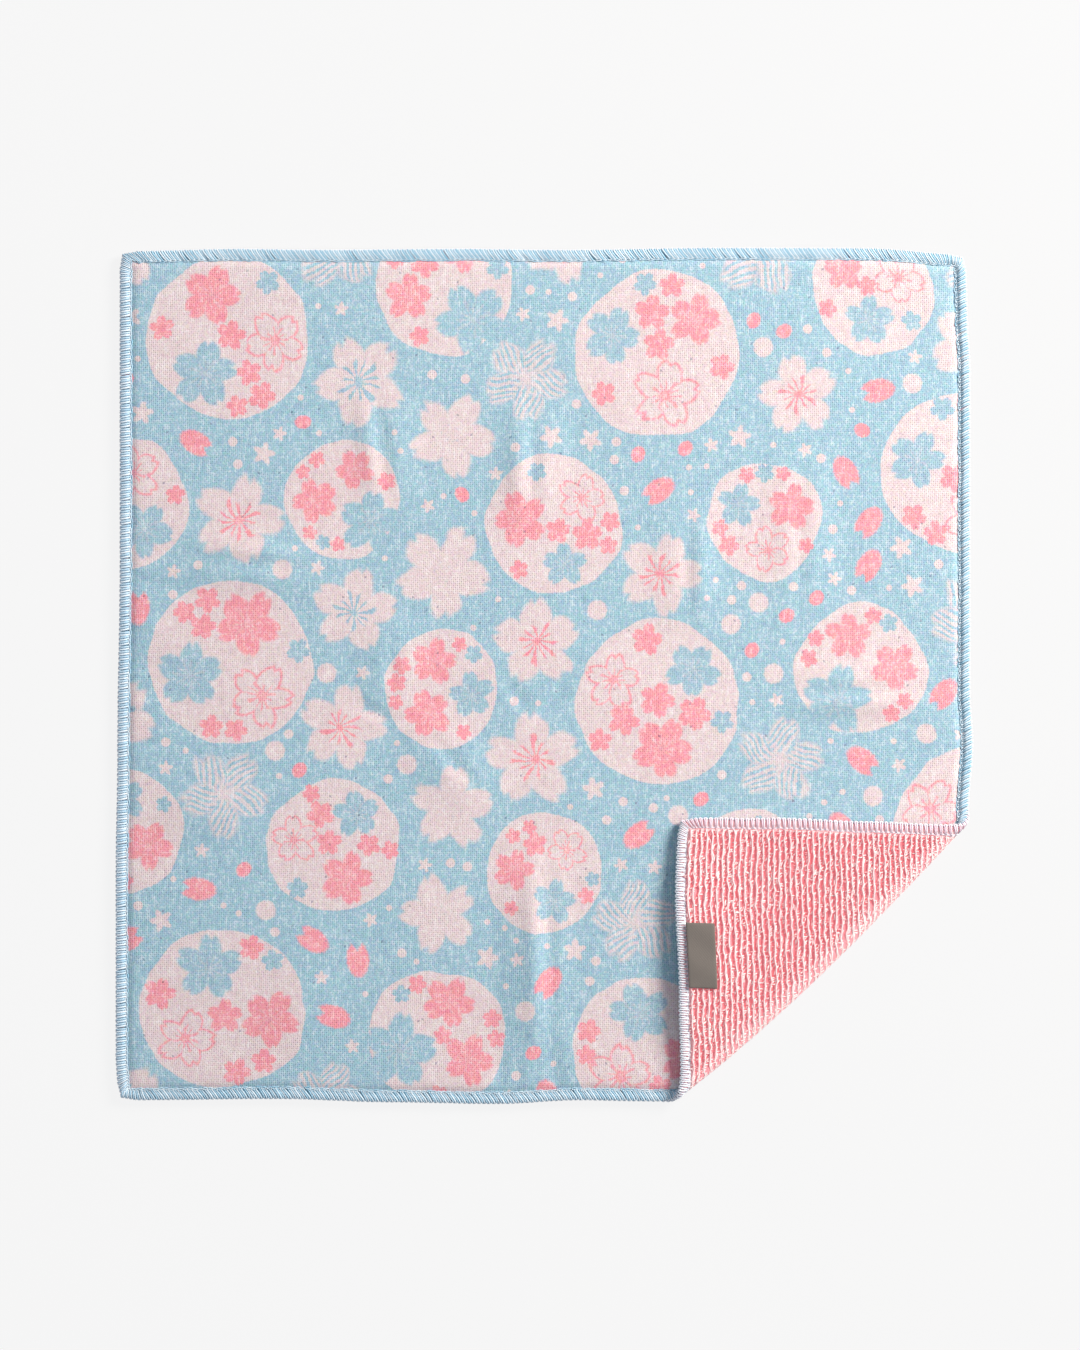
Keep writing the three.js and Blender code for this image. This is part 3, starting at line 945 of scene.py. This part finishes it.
def new_tree(name, inputs):
    """A geometry tree with named inputs. Returns it, its board, its input wires, and its
    lines as curves with points a step apart."""
    tree = bpy.data.node_groups.new(name, "GeometryNodeTree")
    for label in ("Lines", "Step", *inputs, "Size Spread", "Seed", "Finish"):
        kind = INPUT_KINDS.get(label, "Float")
        tree.interface.new_socket(label, in_out="INPUT", socket_type=f"NodeSocket{kind}")
    tree.interface.new_socket("Geometry", in_out="OUTPUT", socket_type="NodeSocketGeometry")
    board = Board(tree)
    entry = board.add("NodeGroupInput")
    wire = {s.name: Wire(board, s) for s in entry.outputs if s.name}
    curve = board.out("GeometryNodeMeshToCurve", None, {0: wire["Lines"]})
    sockets = {0: curve, "Length": wire["Step"]}
    return tree, board, wire, board.out("GeometryNodeResampleCurve", {"mode": "LENGTH"}, sockets)


def close_tree(board, geometry, finish):
    """Realizes the instances and gives them their material."""
    whole = board.out("GeometryNodeRealizeInstances", None, {0: geometry})
    done = board.out("GeometryNodeSetMaterial", None, {"Geometry": whole, "Material": finish})
    board.add("NodeGroupOutput", None, {0: done})


def repeat_tree():
    """Repeats a template along lines, each a little different in turn and size."""
    inputs = ("Template", "Turn Spread", "Tilt Spread", "Stray")
    tree, board, wire, spaced = new_tree("repeat along lines", inputs)
    template = board.out("GeometryNodeObjectInfo", None, {0: wire["Template"]}, "Geometry")

    def spread(amount, shift, middle=0.0):
        return board.random(middle - amount, middle + amount, wire["Seed"] + shift)

    turn = spread(wire["Turn Spread"], 0)
    rotation = board.combine(spread(wire["Tilt Spread"], 1), spread(wire["Tilt Spread"], 2), turn)
    size = board.combine(*(spread(wire["Size Spread"], k, 1.0) for k in (3, 4, 5)))
    offset = board.combine(0.0, spread(wire["Stray"], 6), spread(wire["Stray"], 7) * 0.3)
    strewn = board.out("GeometryNodeSetPosition", None, {"Geometry": spaced, "Offset": offset})
    sockets = {"Points": strewn, "Instance": template, "Rotation": rotation, "Scale": size}
    close_tree(board, board.out("GeometryNodeInstanceOnPoints", None, sockets), wire["Finish"])
    return tree


def rope_tree():
    """Runs an uneven rope along each line, wider than it is high."""
    inputs = ("Sides", "Width", "Height", "Wander")
    tree, board, wire, spaced = new_tree("rope along lines", inputs)
    stray = board.combine(wire["Wander"], wire["Wander"], wire["Wander"])
    back = board.vector("MULTIPLY", stray, (-1.0, -1.0, -1.0))
    offset = board.random(back, stray, wire["Seed"], 0)
    moved = board.out("GeometryNodeSetPosition", None, {"Geometry": spaced, "Offset": offset})
    level = board.out("GeometryNodeSetCurveNormal", {"mode": "Z_UP"}, {0: moved})
    sockets = {"Resolution": wire["Sides"], "Radius": 1.0}
    circle = board.out("GeometryNodeCurvePrimitiveCircle", None, sockets)
    shape = board.combine(wire["Height"], wire["Width"], 1.0)
    profile = board.out("GeometryNodeTransform", None, {"Geometry": circle, "Scale": shape})
    size = board.random(1.0 - wire["Size Spread"], 1.0 + wire["Size Spread"], wire["Seed"] + 1)
    sockets = {"Curve": level, "Profile Curve": profile, "Scale": size, "Fill Caps": True}
    close_tree(board, board.out("GeometryNodeCurveToMesh", None, sockets), wire["Finish"])
    return tree


def grow(lines, tree, values):
    """Runs a geometry tree over lines, and keeps the result as a plain mesh."""
    obj = new_object("growing", lines)
    modifier = obj.modifiers.new("grow", "NODES")
    modifier.node_group = tree
    for item in tree.interface.items_tree:
        if item.in_out == "INPUT" and item.name in values:
            modifier[item.identifier] = values[item.name]
    scene_state = bpy.context.evaluated_depsgraph_get()
    mesh = bpy.data.meshes.new_from_object(obj.evaluated_get(scene_state))
    obj.modifiers.remove(modifier)
    bpy.data.objects.remove(obj)
    return mesh


def polylines(lines):
    """A mesh of edges from several rows of points."""
    points = []
    edges = []
    for line in lines:
        edges += [(len(points) + k, len(points) + k + 1) for k in range(len(line) - 1)]
        points += [tuple(p) for p in line]
    mesh = bpy.data.meshes.new("lines")
    mesh.from_pydata(points, edges, [])
    return mesh


REPEAT = repeat_tree()
ROPE = rope_tree()


def repeated(name, shape, lines, values):
    """A small shape, given as points and faces, repeated along lines as one plain mesh."""
    template = new_object(name, new_mesh(name, *shape))
    mesh = grow(polylines(lines), REPEAT, {"Template": template, **values})
    bpy.data.objects.remove(template)
    return mesh


# Panel

def hem_rise(u, v):
    """0 in the pressed hem, easing to 1 where the cloth has its full thickness."""
    inside = HALF - np.maximum(np.abs(u), np.abs(v))
    return smooth((inside - HEM_RISE_FROM) / HEM_RISE)


def back_height(u, v):
    """Height of the floor of the pile, which is pressed in at the hem too."""
    return -HEM_THICK / 2 - (PILE_FLOOR - HEM_THICK / 2) * hem_rise(u, v)


def face_height(u, v):
    """Height of the gauze over the middle of the sheet: pressed down at the hem, creased."""
    rise = hem_rise(u, v)
    height = HEM_THICK / 2 + (CLOTH_THICK - HEM_THICK) / 2 * rise
    slow = np.sin(u * 0.11 + 1.7 * np.sin(v * 0.06)) * np.sin(v * 0.09 + 1.3 * np.sin(u * 0.05))
    soft = np.sin(u * 0.41 + np.sin(v * 0.23) * 2) * np.sin(v * 0.37 + np.sin(u * 0.19) * 2)
    return height + rise * (hills(CREASES, u, v) + 0.10 * slow + 0.035 * soft)


def closed_sheet(us, vs, top, bottom):
    """Points and faces of a thin closed sheet. The first faces are the top ones."""
    grid = np.stack(np.meshgrid(us, vs, indexing="ij"), -1).reshape(-1, 2)
    u, v = grid.T
    points = np.concatenate([np.column_stack([grid, top(u, v)]), np.column_stack([grid, bottom(u, v)])])
    index = np.arange(len(grid)).reshape(len(us), len(vs))
    a = index[:-1, :-1].ravel()
    b = index[1:, :-1].ravel()
    c = index[1:, 1:].ravel()
    d = index[:-1, 1:].ravel()
    under = len(grid)
    ring = np.concatenate([index[:-1, 0], index[-1, :-1], index[:0:-1, -1], index[0, :0:-1]])
    onward = np.roll(ring, -1)
    quads = np.concatenate([
        np.stack([a, b, c, d], 1),
        np.stack([d, c, b, a], 1) + under,
        np.stack([ring + under, onward + under, onward, ring], 1),
    ])
    return points, quads, len(a)


def cut_at_bends(mesh):
    """Cuts the faces along the lines where the cloth bends."""
    work = bmesh.new()
    work.from_mesh(mesh)
    across = Vector((NORMAL[0], NORMAL[1], 0))
    for depth in np.linspace(0, BEND_LENGTH, BEND_CUTS):
        everything = list(work.verts) + list(work.edges) + list(work.faces)
        bmesh.ops.bisect_plane(work, geom=everything, dist=1e-5, plane_co=across * (BEND_START + depth),
                               plane_no=across)
    work.to_mesh(mesh)
    work.free()


def make_panel():
    """The cloth: printed gauze on the face, the floor of the pile on the back."""
    field = np.linspace(-1, 1, int(2 * HEM_LINES[-1] / FIELD_STEP)) * HEM_LINES[-1]
    hem = np.array(HEM_LINES[:-1])
    lines = np.concatenate([-hem, field, hem[::-1]])
    points, faces, front = closed_sheet(lines, lines, face_height, back_height)
    mesh = new_mesh("cloth_panel", points, faces.tolist())
    mesh.materials.append(GAUZE)
    mesh.materials.append(PILE)
    which = np.zeros(len(mesh.polygons), np.int32)
    which[front:2 * front] = 1
    mesh.polygons.foreach_set("material_index", which)
    cut_at_bends(mesh)
    flat = points_of(mesh)
    print_motifs(mesh, flat)
    inside = HALF - np.abs(flat[:, :2]).max(1)
    # On the back, the floor of the pile is paler towards the hem
    store(mesh, "tip", 0.75 * clamp((4.2 - inside) / 1.2))
    settle(mesh, flat)
    return new_object("cloth_panel", mesh)


# Pile

def rib_line(v, from_u, to_u):
    """One rib of the pile: it runs along u, and wanders much as its neighbours do."""
    u = np.linspace(from_u, to_u, max(3, int((to_u - from_u) / RIB_POINT_STEP)))
    sway = 0.11 * np.sin(0.52 * u + 1.6 * np.sin(0.09 * v) + 0.2 * v)
    sway += 0.10 * np.sin(0.21 * u + 0.4 * v) + 0.09 * np.sin(1.1 * u + 0.9 * v)
    sway += 0.13 * np.sin(1.7 * u + 7.3 * v) + 0.10 * np.sin(0.8 * u + 3.1 * v)
    sway += 0.07 * np.sin(2.9 * u + 5.3 * v)
    return np.column_stack([u, np.clip(v + sway, -RIB_EDGE - 0.2, RIB_EDGE), 0 * u - RIB_CORE])


def rib_places():
    """Where the ribs run: the first lies close to the stitches that show on the flap."""
    return np.arange(-RIB_EDGE, RIB_EDGE - 0.8, RIB_PITCH)


def back_normals(flat):
    """The way the back of the laid cloth looks at each point."""
    reach_u = np.array([0.1, 0, 0])
    reach_v = np.array([0, 0.1, 0])
    ahead = lay(flat + reach_u) - lay(flat - reach_u)
    aside = lay(flat + reach_v) - lay(flat - reach_v)
    out = np.cross(aside, ahead)
    return out / np.linalg.norm(out, axis=1)[:, None]


def finish_pile(name, mesh, tip):
    """Colours the pile by its height as painted highlight and shade, pales and flattens it at the fold,
    and lays it.
    """
    flat = points_of(mesh)
    past_bend = flat[:, 0] * NORMAL[0] + flat[:, 1] * NORMAL[1] - BEND_START - BEND_LENGTH / 2
    at_fold = hill(past_bend / FOLD_PALE_REACH)
    store(mesh, "level", back_normals(flat))
    store(mesh, "tip", np.maximum(tip(flat[:, 2]), FOLD_PALE * at_fold))
    flat[:, 2] += FOLD_FLATTEN * at_fold * np.maximum(0, -flat[:, 2] - PILE_FLOOR)
    settle(mesh, flat)
    return new_object(name, mesh)


def make_ribs(name, places, seed):
    """Ribs of packed loops over the back, as uneven ropes side by side."""
    lines = [rib_line(v, -RIB_EDGE, RIB_EDGE) for v in places]
    mesh = grow(polylines(lines), ROPE, {
        "Step": ROPE_STEP, "Sides": ROPE_SIDES, "Width": ROPE_WIDTH, "Height": ROPE_HEIGHT,
        "Wander": ROPE_WANDER, "Size Spread": 0.16, "Seed": seed, "Finish": PILE,
    })
    # Rope tops are painted paler than their sides: a painted highlight
    return finish_pile(name, mesh, lambda w: PILE_FOOT_TONE + clamp((-w - 0.88) / 0.2) * 0.3)


def loop_template():
    """One loop of yarn: an arch that leans across its rib, its feet in the cloth."""
    t = np.linspace(0, 1, len(LOOP_RADII))
    run = (t - 0.5) * LOOP_RUN
    height = -LOOP_RISE * np.sin(math.pi * t) ** 0.7
    path = np.column_stack([run * math.cos(LOOP_LEAN), run * math.sin(LOOP_LEAN), height])
    return tube(path, LOOP_RADII, 4, (-math.sin(LOOP_LEAN), math.cos(LOOP_LEAN), 0))


def make_loops():
    """Single loops of yarn over the turned corner and its fold."""
    lines = []
    for v in rib_places():
        from_u = (BEND_START + LOOP_START - v * NORMAL[1]) / NORMAL[0]
        if from_u < RIB_EDGE - 2:
            lines.append(rib_line(v, max(from_u, -RIB_EDGE), RIB_EDGE - 0.4))
    loop = loop_template()
    mesh = repeated("loop", loop, lines, {
        "Step": LOOP_STEP, "Turn Spread": 0.7, "Tilt Spread": 0.3, "Size Spread": 0.35,
        "Stray": 0.48, "Seed": 5, "Finish": PILE,
    })
    count = len(mesh.vertices)
    pale = np.random.default_rng(6).uniform(0.1, 0.85, count)[np.arange(count) // len(loop[0])]
    # The higher part of each loop is painted paler, a painted highlight, by an amount that differs at
    # random from loop to loop
    return finish_pile("pile_loops", mesh, lambda w: PILE_FOOT_TONE + clamp((-w - 0.85) / 0.4) * pale)


# Edging

# For each side: how far a stitch slants over the face, half the gap between its strands
# on the face and at their ends on the back, its reach on the back, how lavender its face
# is and how much paler its back
EDGING = {
    "top": (2.2, 0.33, 0.3, 3.0, 0.0, 0.0),
    "right": (1.6, 0.33, 0.14, 2.9, 0.0, 0.0),
    "bottom": (2.0, 0.33, 0.5, 2.4, 0.1, 0.75),
    "left": (0.5, 0.35, 0.3, 3.0, 0.4, 0.0),
}
ON_SIDE = {
    "top": lambda s, y: (s, HALF + y),
    "right": lambda s, y: (HALF + y, -s),
    "bottom": lambda s, y: (-s, -HALF - y),
    "left": lambda s, y: (-HALF - y, s),
}


def stitch_template(slant, face_gap, back_gap, back_reach):
    """One overlock stitch: two strands over the edge, a chain link on each side of the
    cloth, and a bead of thread under the rim."""
    angle = np.linspace(0, math.pi, STITCH_RINGS)
    depth = EDGING_REACH * (1 - np.sin(angle) ** STITCH_ROUNDNESS)
    height = STITCH_HEIGHT * np.sign(np.cos(angle)) * np.abs(np.cos(angle)) ** STITCH_ROUNDNESS
    height[0] -= 0.22
    height[-1] += 0.2
    on_face = np.cos(angle) > 0
    inward = depth / EDGING_REACH
    run = on_face * slant * inward ** 1.3
    depth = np.where(on_face, depth, back_reach * inward)
    parting = BACK_GAP_AT_EDGE + (back_gap - BACK_GAP_AT_EDGE) * inward
    gap = np.where(on_face, face_gap, parting)
    radii = np.interp(np.cos(angle), [-0.4, 0.4], [STRAND_RADIUS - 0.06, STRAND_RADIUS + 0.02])
    parts = []
    for way in (-1, 1):
        path = np.column_stack([run + way * gap, -depth, height])
        parts.append(tube(path, radii, STRAND_SIDES, (1, 0, 0)))
    links = ((3.1, 0.8, 0.26, 0.18), (back_reach - 0.1, -0.8, 0.2, 0.14))
    for at_depth, at_height, width, thick in links:
        turn = np.linspace(-math.pi, math.pi * 0.8, LINK_RINGS)
        offset = slant if at_height > 0 else 0.0
        link = np.column_stack([offset + 0.85 * np.cos(turn), -at_depth + width * np.sin(turn),
                                at_height + 0.1 * np.cos(turn)])
        parts.append(tube(link, np.full(LINK_RINGS, thick), STRAND_SIDES, (0, 0, 1)))
    bead = np.column_stack([np.linspace(-0.6, 0.6, 5), [-0.3, -0.02, 0.12, -0.02, -0.3],
                            [-0.75, -0.5, -0.4, -0.5, -0.75]])
    parts.append(tube(bead, [0.16, 0.22, 0.24, 0.22, 0.16], STRAND_SIDES, (0, 0, 1)))
    return joined(parts)


def make_stitches(side, seed):
    """The stitches of one side, fanned out to the mitres at its corners."""
    *shape, lavender, back_pale = EDGING[side]
    stitch = stitch_template(*shape)
    mesh = repeated("stitch", stitch, [[(-STITCH_END, 0, 0), (STITCH_END, 0, 0)]], {
        "Step": STITCH_PITCH, "Turn Spread": 0.05, "Tilt Spread": 0.03, "Size Spread": 0.05,
        "Stray": 0.03, "Seed": seed, "Finish": THREAD,
    })
    normals = np.array([tuple(v.normal) for v in mesh.vertices])
    s, y, w = points_of(mesh).T
    near = clamp(1 - (HALF - np.abs(s)) / STITCH_FAN)
    u, v = ON_SIDE[side](s + np.sign(s) * near * np.minimum(y, 0), y)
    flat = np.column_stack([u, v, w])
    rng = np.random.default_rng(seed)
    each, within = np.divmod(np.arange(len(s)), len(stitch[0]))
    strand = rng.uniform(0, 0.7, each[-1] + 1)[each]
    # The second strand of each stitch gets painted shade, the first a little lighter
    second = (within >= STITCH_RINGS * STRAND_SIDES) & (within < 2 * STITCH_RINGS * STRAND_SIDES)
    strand += np.where(second, -SECOND_STRAND_SHADE, 0.2)
    front = smooth(w * 1.2 + 0.35)
    strand += 1.3 * back_pale * (1 - front)
    # Strands are painted lighter where they face outward from the edge's middle and darker on their
    # sides: painted highlight and shade
    outward = np.column_stack([y + EDGING_REACH, w * 2])
    outward /= np.linalg.norm(outward, axis=1)[:, None] + 1e-6
    crest_light = clamp(normals[:, 1] * outward[:, 0] + normals[:, 2] * outward[:, 1])
    # Towards their inner ends the strands lose that highlight and their lavender: painted shade where
    # they sink into the cloth
    inmost = smooth((-y - EDGING_REACH) / 0.5) * front
    crest_light *= 1 - 0.8 * inmost
    lavender = (lavender * front + back_pale * (1 - front)) * (1 - inmost)
    store(mesh, "thread", np.column_stack([front, crest_light, lavender]))
    store(mesh, "strand", strand)
    settle(mesh, flat)
    return new_object(f"stitches_{side}", mesh)


# Tag

def make_tag():
    """The bare grey tag: a thin slab with softened rims, a little curled."""
    def cuts(middle, size, cells):
        inner = np.linspace(-1, 1, cells) * (size / 2 - TAG_RIM)
        return middle + np.concatenate([[-size / 2], inner, [size / 2]])

    us = cuts(TAG_AT, TAG_LENGTH, 30)
    vs = cuts(TAG_START + TAG_WIDTH / 2 - HALF, TAG_WIDTH, 14)

    def thin(u, v):
        in_u = (TAG_LENGTH / 2 - np.abs(u - TAG_AT)) / TAG_RIM
        in_v = (TAG_WIDTH / 2 - np.abs(v - vs.mean())) / TAG_RIM
        return TAG_THICK / 2 * (0.45 + 0.55 * smooth(np.minimum(in_u, in_v)))

    def middle(u, v):
        free = clamp((v - vs[0]) / TAG_WIDTH)
        return TAG_HEIGHT - 0.25 * free ** 2 + 0.12 * np.sin(u * 0.5 + v * 0.3)

    points, faces, _ = closed_sheet(us, vs, lambda u, v: middle(u, v) + thin(u, v),
                                    lambda u, v: middle(u, v) - thin(u, v))
    mesh = new_mesh("tag", points, faces.tolist())
    mesh.materials.append(TAPE)
    settle(mesh, points)
    return new_object("tag", mesh)


# Floor, light and camera

def make_stage():
    """A pale floor that stays even, a pale sky, soft light from the upper right, and a
    weak fill from the lower left."""
    ways = ((-1, -1), (1, -1), (1, 1), (-1, 1))
    corners = [(x * FLOOR_HALF, y * FLOOR_HALF, FLOOR_HEIGHT) for x, y in ways]
    mesh = new_mesh("floor", corners, [(0, 1, 2, 3)])
    material = new_material("pale_floor", 1.0, 0.0, {
        "Base Color": FLOOR_GREY, "Specular IOR Level": 0.0,
        "Emission Color": FLOOR_WHITE, "Emission Strength": FLOOR_GLOW,
    })[0]
    mesh.materials.append(material)
    floor = new_object("floor", mesh)
    world = bpy.data.worlds.new("sky")
    world.use_nodes = True
    sky = world.node_tree.nodes["Background"]
    sky.inputs["Color"].default_value = SKY_TINT
    sky.inputs["Strength"].default_value = SKY_STRENGTH
    bpy.context.scene.world = world
    for name, spot, width, watts, colour in LAMPS:
        lamp = bpy.data.lights.new(name, "AREA")
        lamp.size = width
        lamp.energy = watts
        lamp.color = colour
        light = new_object(name, lamp)
        light.location = spot
        light.rotation_euler = (-Vector(spot)).to_track_quat("-Z", "Y").to_euler()


def make_camera():
    """Straight above the cloth, with the photograph's frame and scale, in plain colours."""
    data = bpy.data.cameras.new("camera")
    data.lens = LENS
    data.sensor_width = SENSOR
    data.clip_start = 0.01
    data.clip_end = 20.0
    camera = new_object("camera", data)
    high = PHOTO_HEIGHT * MM_PER_PIXEL * LENS / SENSOR
    x, y = np.array(PHOTO_CENTRE) + CENTRING[:2]
    camera.location = (x * MM, y * MM, (high + CLOTH_THICK) * MM)
    bpy.context.scene.camera = camera
    bpy.context.scene.view_settings.view_transform = "Standard"


make_stage()
make_camera()
panel = make_panel()
places = rib_places()
half_way = len(places) // 2
pile = [
    make_ribs("pile_ribs_front", places[:half_way], 1),
    make_ribs("pile_ribs_back", places[half_way:], 2),
    make_loops(),
]
stitches = {side: make_stitches(side, 11 + k) for k, side in enumerate(EDGING)}
tag = make_tag()

for piece in [panel, *pile, *stitches.values(), tag]:
    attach(piece, "root")
for side, piece in stitches.items():
    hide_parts(f"edging_{side}")
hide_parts("cloth")
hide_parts("label")
